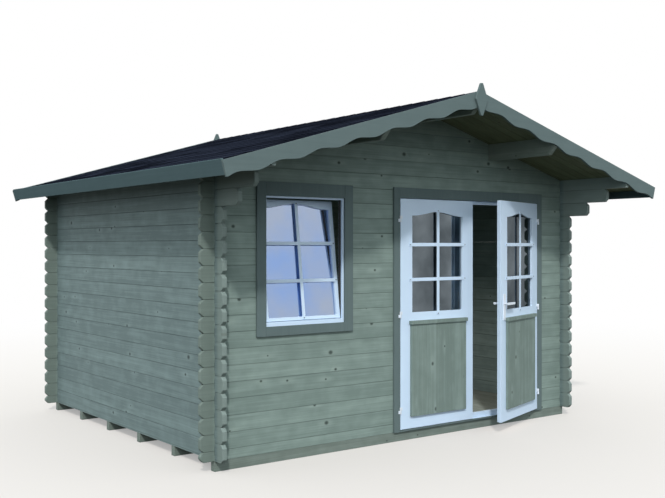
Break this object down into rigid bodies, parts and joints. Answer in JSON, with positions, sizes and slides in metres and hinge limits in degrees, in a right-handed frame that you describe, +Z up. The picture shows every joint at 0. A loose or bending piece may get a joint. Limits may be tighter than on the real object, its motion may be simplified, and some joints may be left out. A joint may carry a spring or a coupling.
{
  "type": "log cabin",
  "caption": "Small gable-roofed log cabin with notched log corners, a glazed double door, a tilted window, waved bargeboards and a deep front overhang.",
  "frame": {"origin": "centre of the cabin's overall box at ground level, under the foundation joists", "axes": "+Z up, +X to the right along the front wall, +Y from the front to the back"},
  "size_m": [4.33, 3.875, 2.7155],
  "materials": {
    "log_stain": "grey-green translucent stain on planed softwood",
    "trim_stain": "slate-green opaque stain on planed boards",
    "white_paint": "cool white satin paint",
    "raw_wood": "untreated planed softwood",
    "joist_wood": "impregnated sawn softwood",
    "shingle_felt": "bitumen felt with dark mineral granules",
    "clear_glass": "clear float glass",
    "white_metal": "white powder coat"
  },
  "bodies": {
    "root": {"foundation_joists": "joist_wood", "floor": "raw_wood", "wall_left": "log_stain", "wall_right": "log_stain", "back_wall": "log_stain", "back_gable": "log_stain", "front_wall_sill": "log_stain", "front_wall_left": "log_stain", "front_wall_middle": "log_stain", "front_wall_right": "log_stain", "front_wall_head": "log_stain", "front_gable": "log_stain", "ridge_purlin": "log_stain", "purlin_left": "log_stain", "purlin_right": "log_stain", "roof_deck_left": "raw_wood", "roof_deck_right": "raw_wood", "shingles_left": "shingle_felt", "shingles_right": "shingle_felt", "ridge_cap": "shingle_felt", "eaves_board_left": "trim_stain", "eaves_board_right": "trim_stain", "bargeboard_front_left": "trim_stain", "bargeboard_front_right": "trim_stain", "bargeboard_back_left": "trim_stain", "bargeboard_back_right": "trim_stain", "finials": "trim_stain", "window_frame": "white_paint", "window_sash": "white_paint", "window_glass": "clear_glass", "window_handle": "white_metal", "window_trim": "trim_stain", "door_frame": "white_paint", "door_trim": "trim_stain", "frame_hinges": "white_metal"},
    "left_door": {"left_door_leaf": "white_paint", "left_door_glass": "clear_glass", "left_door_panel": "log_stain", "left_door_hinges": "white_metal"},
    "right_door": {"right_door_leaf": "white_paint", "right_door_glass": "clear_glass", "right_door_panel": "log_stain", "right_door_hinges": "white_metal", "right_door_handle_plates": "white_metal"},
    "door_lever": {"right_door_lever": "white_metal"}
  },
  "joints": [
    {"name": "left_door_hinge", "type": "hinge", "parent": "root", "child": "left_door", "pos_m": [-0.16397, -1.2228, 0.09], "axis": [0, 0, -1], "range_deg": [0, 100]},
    {"name": "right_door_hinge", "type": "hinge", "parent": "root", "child": "right_door", "pos_m": [1.44503, -1.2228, 0.09], "axis": [0, 0, 1], "range_deg": [-19.7, 80]},
    {"name": "door_lever_turn", "type": "hinge", "parent": "right_door", "child": "door_lever", "pos_m": [0.74259, -1.46656, 1.055], "axis": [-0.3371, 0.9415, 0], "range_deg": [0, 40], "stiffness_Nm_per_rad": 1.2, "springref_deg": -22.92}
  ]
}
